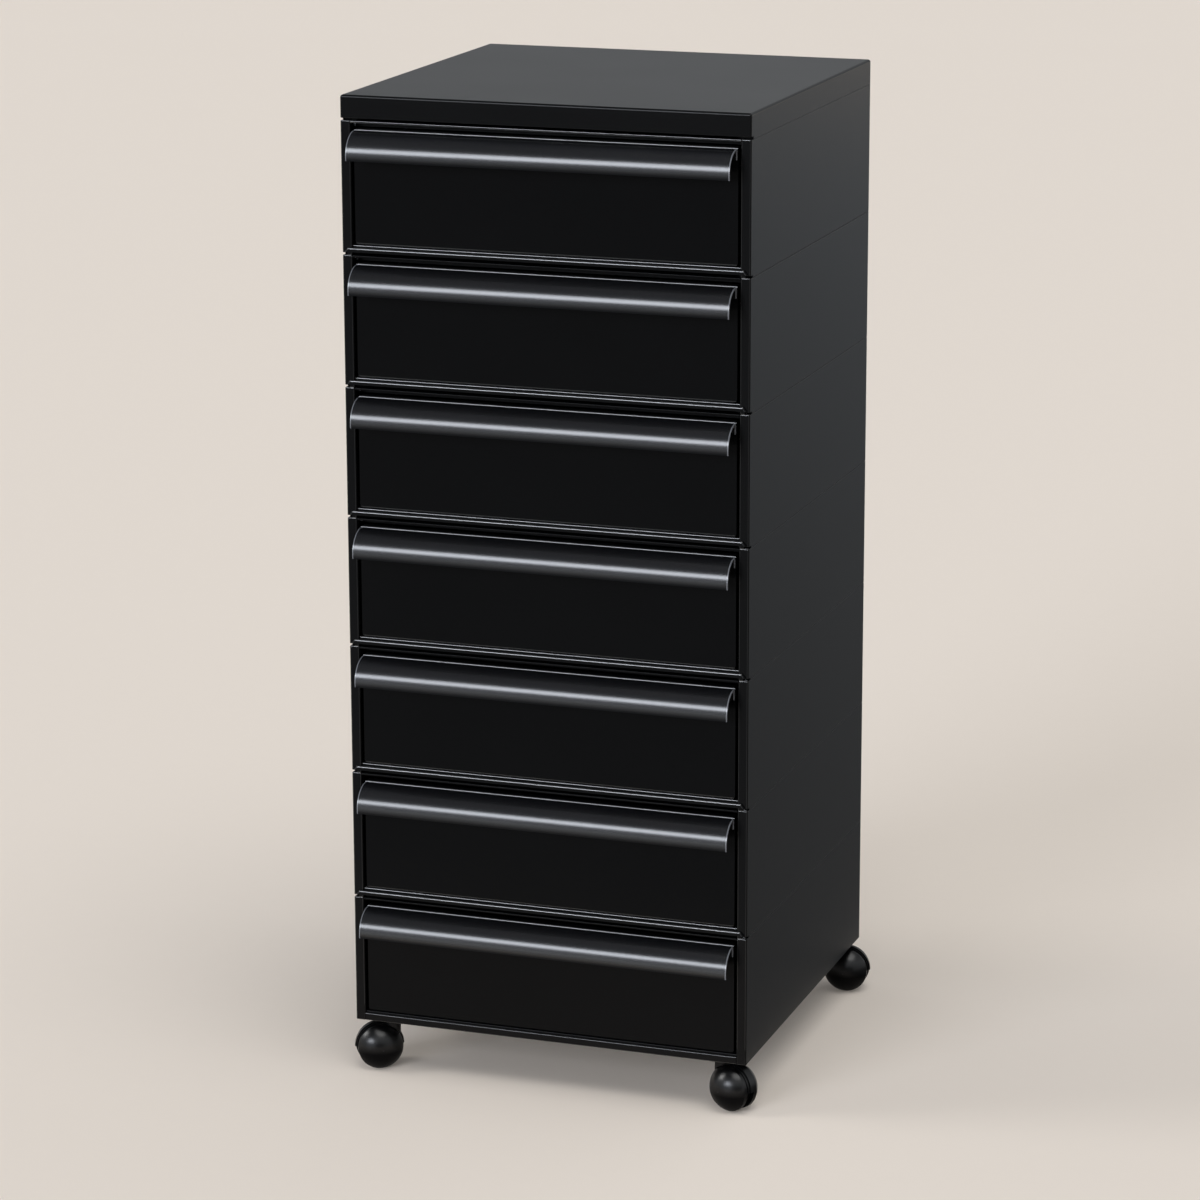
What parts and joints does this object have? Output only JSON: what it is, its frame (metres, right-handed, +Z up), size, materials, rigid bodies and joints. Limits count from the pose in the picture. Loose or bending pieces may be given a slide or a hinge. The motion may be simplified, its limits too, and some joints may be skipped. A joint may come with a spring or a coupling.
{
  "type": "microfiche cabinet",
  "caption": "Black sheet-steel microfiche cabinet on twin-wheel swivel casters, with stacked drawers, full-width rolled handles, lane dividers and telescopic slides.",
  "frame": {"origin": "on the floor, under the middle of the whole cabinet", "axes": "+Z up, the drawers open towards -Y, +X to the right of somebody who faces them"},
  "size_m": [0.522, 0.5114, 1.162],
  "materials": {
    "case_paint": "satin black powder coat",
    "drawer_paint": "satin black powder coat",
    "handle_paint": "semi-gloss black powder coat",
    "divider_steel": "dark grey paint",
    "slide_steel": "bright zinc plate",
    "fastener_steel": "zinc plate",
    "plate_steel": "zinc plate",
    "hood_plastic": "black moulded nylon",
    "wheel_plastic": "black moulded nylon"
  },
  "bodies": {
    "casing": {"case_1": "case_paint", "case_2": "case_paint", "case_3": "case_paint", "case_4": "case_paint", "case_5": "case_paint", "case_6": "case_paint", "case_7": "case_paint", "slide_outer_members": "slide_steel", "top_cover": "case_paint", "stacking_bolts": "fastener_steel", "stacking_nuts": "fastener_steel", "caster_plates": "plate_steel", "caster_stems": "plate_steel"},
    "drawer_1": {"drawer_1": "drawer_paint", "handle_1": "handle_paint", "dividers_1": "divider_steel", "slide_inner_1": "slide_steel"},
    "slide_middle_1": {"slide_middle_1": "slide_steel"},
    "drawer_2": {"drawer_2": "drawer_paint", "handle_2": "handle_paint", "dividers_2": "divider_steel", "slide_inner_2": "slide_steel"},
    "slide_middle_2": {"slide_middle_2": "slide_steel"},
    "drawer_3": {"drawer_3": "drawer_paint", "handle_3": "handle_paint", "dividers_3": "divider_steel", "slide_inner_3": "slide_steel"},
    "slide_middle_3": {"slide_middle_3": "slide_steel"},
    "drawer_4": {"drawer_4": "drawer_paint", "handle_4": "handle_paint", "dividers_4": "divider_steel", "slide_inner_4": "slide_steel"},
    "slide_middle_4": {"slide_middle_4": "slide_steel"},
    "drawer_5": {"drawer_5": "drawer_paint", "handle_5": "handle_paint", "dividers_5": "divider_steel", "slide_inner_5": "slide_steel"},
    "slide_middle_5": {"slide_middle_5": "slide_steel"},
    "drawer_6": {"drawer_6": "drawer_paint", "handle_6": "handle_paint", "dividers_6": "divider_steel", "slide_inner_6": "slide_steel"},
    "slide_middle_6": {"slide_middle_6": "slide_steel"},
    "drawer_7": {"drawer_7": "drawer_paint", "handle_7": "handle_paint", "dividers_7": "divider_steel", "slide_inner_7": "slide_steel"},
    "slide_middle_7": {"slide_middle_7": "slide_steel"},
    "hood_front_right": {"caster_hood_front_right": "hood_plastic"},
    "wheel_front_right_near": {"caster_wheel_front_right_near": "wheel_plastic"},
    "wheel_front_right_far": {"caster_wheel_front_right_far": "wheel_plastic"},
    "hood_front_left": {"caster_hood_front_left": "hood_plastic"},
    "wheel_front_left_near": {"caster_wheel_front_left_near": "wheel_plastic"},
    "wheel_front_left_far": {"caster_wheel_front_left_far": "wheel_plastic"},
    "hood_rear_right": {"caster_hood_rear_right": "hood_plastic"},
    "wheel_rear_right_near": {"caster_wheel_rear_right_near": "wheel_plastic"},
    "wheel_rear_right_far": {"caster_wheel_rear_right_far": "wheel_plastic"},
    "hood_rear_left": {"caster_hood_rear_left": "hood_plastic"},
    "wheel_rear_left_near": {"caster_wheel_rear_left_near": "wheel_plastic"},
    "wheel_rear_left_far": {"caster_wheel_rear_left_far": "wheel_plastic"}
  },
  "joints": [
    {"name": "drawer_1_slide", "type": "slide", "parent": "casing", "child": "drawer_1", "axis": [0, -1, 0], "range_m": [0, 0.42]},
    {"name": "slide_middle_1_slide", "type": "slide", "parent": "casing", "child": "slide_middle_1", "axis": [0, -1, 0], "range_m": [0, 0.21]},
    {"name": "drawer_2_slide", "type": "slide", "parent": "casing", "child": "drawer_2", "axis": [0, -1, 0], "range_m": [0, 0.42]},
    {"name": "slide_middle_2_slide", "type": "slide", "parent": "casing", "child": "slide_middle_2", "axis": [0, -1, 0], "range_m": [0, 0.21]},
    {"name": "drawer_3_slide", "type": "slide", "parent": "casing", "child": "drawer_3", "axis": [0, -1, 0], "range_m": [0, 0.42]},
    {"name": "slide_middle_3_slide", "type": "slide", "parent": "casing", "child": "slide_middle_3", "axis": [0, -1, 0], "range_m": [0, 0.21]},
    {"name": "drawer_4_slide", "type": "slide", "parent": "casing", "child": "drawer_4", "axis": [0, -1, 0], "range_m": [0, 0.42]},
    {"name": "slide_middle_4_slide", "type": "slide", "parent": "casing", "child": "slide_middle_4", "axis": [0, -1, 0], "range_m": [0, 0.21]},
    {"name": "drawer_5_slide", "type": "slide", "parent": "casing", "child": "drawer_5", "axis": [0, -1, 0], "range_m": [0, 0.42]},
    {"name": "slide_middle_5_slide", "type": "slide", "parent": "casing", "child": "slide_middle_5", "axis": [0, -1, 0], "range_m": [0, 0.21]},
    {"name": "drawer_6_slide", "type": "slide", "parent": "casing", "child": "drawer_6", "axis": [0, -1, 0], "range_m": [0, 0.42]},
    {"name": "slide_middle_6_slide", "type": "slide", "parent": "casing", "child": "slide_middle_6", "axis": [0, -1, 0], "range_m": [0, 0.21]},
    {"name": "drawer_7_slide", "type": "slide", "parent": "casing", "child": "drawer_7", "axis": [0, -1, 0], "range_m": [0, 0.42]},
    {"name": "slide_middle_7_slide", "type": "slide", "parent": "casing", "child": "slide_middle_7", "axis": [0, -1, 0], "range_m": [0, 0.21]},
    {"name": "swivel_front_right", "type": "hinge", "parent": "casing", "child": "hood_front_right", "pos_m": [0.207, -0.20267, 0.055], "axis": [0, 0, 1], "continuous": true},
    {"name": "roll_front_right_near", "type": "hinge", "parent": "hood_front_right", "child": "wheel_front_right_near", "pos_m": [0.22105, -0.20923, 0.027], "axis": [0.4226, 0.9063, 0], "continuous": true},
    {"name": "roll_front_right_far", "type": "hinge", "parent": "hood_front_right", "child": "wheel_front_right_far", "pos_m": [0.22105, -0.20923, 0.027], "axis": [0.4226, 0.9063, 0], "continuous": true},
    {"name": "swivel_front_left", "type": "hinge", "parent": "casing", "child": "hood_front_left", "pos_m": [-0.207, -0.20267, 0.055], "axis": [0, 0, 1], "continuous": true},
    {"name": "roll_front_left_near", "type": "hinge", "parent": "hood_front_left", "child": "wheel_front_left_near", "pos_m": [-0.22015, -0.21089, 0.027], "axis": [0.5299, -0.848, 0], "continuous": true},
    {"name": "roll_front_left_far", "type": "hinge", "parent": "hood_front_left", "child": "wheel_front_left_far", "pos_m": [-0.22015, -0.21089, 0.027], "axis": [0.5299, -0.848, 0], "continuous": true},
    {"name": "swivel_rear_right", "type": "hinge", "parent": "casing", "child": "hood_rear_right", "pos_m": [0.216, 0.22732, 0.055], "axis": [0, 0, 1], "continuous": true},
    {"name": "roll_rear_right_near", "type": "hinge", "parent": "hood_rear_right", "child": "wheel_rear_right_near", "pos_m": [0.23144, 0.22867, 0.027], "axis": [-0.0872, 0.9962, 0], "continuous": true},
    {"name": "roll_rear_right_far", "type": "hinge", "parent": "hood_rear_right", "child": "wheel_rear_right_far", "pos_m": [0.23144, 0.22867, 0.027], "axis": [-0.0872, 0.9962, 0], "continuous": true},
    {"name": "swivel_rear_left", "type": "hinge", "parent": "casing", "child": "hood_rear_left", "pos_m": [-0.216, 0.22732, 0.055], "axis": [0, 0, 1], "continuous": true},
    {"name": "roll_rear_left_near", "type": "hinge", "parent": "hood_rear_left", "child": "wheel_rear_left_near", "pos_m": [-0.2315, 0.22732, 0.027], "axis": [0, -1, 0], "continuous": true},
    {"name": "roll_rear_left_far", "type": "hinge", "parent": "hood_rear_left", "child": "wheel_rear_left_far", "pos_m": [-0.2315, 0.22732, 0.027], "axis": [0, -1, 0], "continuous": true}
  ],
  "couplings": [
    {"joint": "slide_middle_1_slide", "follows": "drawer_1_slide", "ratio": 0.5},
    {"joint": "slide_middle_2_slide", "follows": "drawer_2_slide", "ratio": 0.5},
    {"joint": "slide_middle_3_slide", "follows": "drawer_3_slide", "ratio": 0.5},
    {"joint": "slide_middle_4_slide", "follows": "drawer_4_slide", "ratio": 0.5},
    {"joint": "slide_middle_5_slide", "follows": "drawer_5_slide", "ratio": 0.5},
    {"joint": "slide_middle_6_slide", "follows": "drawer_6_slide", "ratio": 0.5},
    {"joint": "slide_middle_7_slide", "follows": "drawer_7_slide", "ratio": 0.5}
  ]
}
